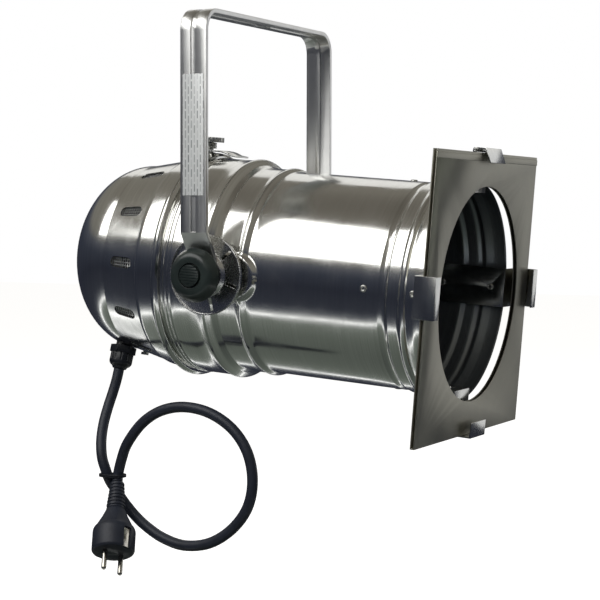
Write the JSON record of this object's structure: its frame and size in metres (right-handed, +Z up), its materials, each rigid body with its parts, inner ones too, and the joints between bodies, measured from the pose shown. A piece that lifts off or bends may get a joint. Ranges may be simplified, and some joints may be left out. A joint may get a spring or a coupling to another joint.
{
  "type": "par can stage lantern",
  "caption": "Long-nosed round stage lantern hung from a U-shaped yoke, with a square colour frame at its mouth, a vented rear housing, and a looped mains lead with its plug.",
  "frame": {"origin": "centre of the hanging hole, on the top face of the yoke's crossbar", "axes": "+Z up along the hanging hole, -Y the way the beam leaves, +X along the tilt axis; the label is on the -X leg"},
  "size_m": [0.271, 0.4197, 0.5121],
  "materials": {
    "polished_aluminium": "polished, spun",
    "yoke_aluminium": "satin",
    "holder_steel": "bright zinc",
    "frame_sheet": "satin zinc-plated",
    "zinc_hardware": "zinc-plated",
    "label_foil": "satin foil",
    "black_plastic": "glossy",
    "matte_black": "matte",
    "brass": "turned",
    "mesh_steel": "woven wire",
    "reflector_glass": "silvered",
    "lens_glass": "pressed",
    "ceramic": "glazed ceramic",
    "lead_brown": "silicone",
    "lead_blue": "silicone",
    "lead_green": "silicone",
    "cord_rubber": "matte",
    "pin_nickel": "nickel-plated"
  },
  "bodies": {
    "yoke": {"yoke_strap": "yoke_aluminium", "rating_label": "label_foil"},
    "can": {"front_tube": "polished_aluminium", "holder_left": "holder_steel", "holder_right": "holder_steel", "holder_bottom": "holder_steel", "holder_top": "holder_steel", "holder_rivets": "zinc_hardware", "retainer_pin": "zinc_hardware", "friction_disc_near": "polished_aluminium", "friction_disc_far": "polished_aluminium", "pivot_bolt_near": "zinc_hardware", "pivot_bolt_far": "zinc_hardware", "washer_near": "zinc_hardware", "washer_far": "zinc_hardware", "frame_front_leaf": "frame_sheet", "frame_back_leaf": "frame_sheet"},
    "knob_near": {"knob_near": "black_plastic", "knob_insert_near": "brass", "knob_cap_near": "black_plastic"},
    "knob_far": {"knob_far": "black_plastic", "knob_insert_far": "brass", "knob_cap_far": "black_plastic"},
    "retainer": {"retainer_flap": "holder_steel"},
    "rear": {"rear_housing": "polished_aluminium", "vent_mesh": "mesh_steel", "lamp_seat": "polished_aluminium", "lamp_ring": "zinc_hardware", "lead_live": "lead_brown", "lead_neutral": "lead_blue", "lead_earth": "lead_green", "earth_screw": "zinc_hardware", "earth_nut": "zinc_hardware", "gland_body": "matte_black", "gland_nut": "matte_black", "gland_locknut": "matte_black", "latch_bush": "zinc_hardware", "cord": "cord_rubber", "cord_tie": "matte_black", "plug_strain_relief": "cord_rubber", "plug_body": "cord_rubber", "plug_pins": "pin_nickel", "plug_earths": "pin_nickel"},
    "lamp": {"lamp_reflector": "reflector_glass", "lamp_lens": "lens_glass", "lamp_prongs": "pin_nickel", "socket_body": "ceramic", "socket_contacts": "pin_nickel", "socket_screws": "zinc_hardware"},
    "latch_plate": {"latch_plate": "holder_steel", "latch_spring": "zinc_hardware"},
    "latch_knob": {"latch_knob": "zinc_hardware", "latch_screw": "zinc_hardware"}
  },
  "joints": [
    {"name": "yoke_tilt", "type": "hinge", "parent": "yoke", "child": "can", "pos_m": [0, 0, -0.234], "axis": [1, 0, 0], "range_deg": [-60, 85]},
    {"name": "near_knob_turn", "type": "hinge", "parent": "can", "child": "knob_near", "pos_m": [-0.12, 0, -0.234], "axis": [-1, 0, 0], "continuous": true},
    {"name": "far_knob_turn", "type": "hinge", "parent": "can", "child": "knob_far", "pos_m": [0.12, 0, -0.234], "axis": [1, 0, 0], "continuous": true},
    {"name": "retainer_flip", "type": "hinge", "parent": "can", "child": "retainer", "pos_m": [0, -0.22107, -0.1232], "axis": [-1, 0, 0], "range_deg": [0, 100]},
    {"name": "rear_housing_slide", "type": "slide", "parent": "can", "child": "rear", "axis": [0, 0.9969, 0.0785], "range_m": [0, 0.04]},
    {"name": "lamp_turn", "type": "hinge", "parent": "rear", "child": "lamp", "pos_m": [0, 0.04271, -0.22863], "axis": [0, -0.9969, -0.0785], "range_deg": [-45, 45]},
    {"name": "latch_plate_swing", "type": "hinge", "parent": "rear", "child": "latch_plate", "pos_m": [0, 0.05425, -0.12039], "axis": [0, -0.0785, 0.9969], "range_deg": [0, 90]},
    {"name": "latch_knob_turn", "type": "hinge", "parent": "rear", "child": "latch_knob", "pos_m": [0, 0.05355, -0.11142], "axis": [0, -0.0785, 0.9969], "continuous": true}
  ]
}
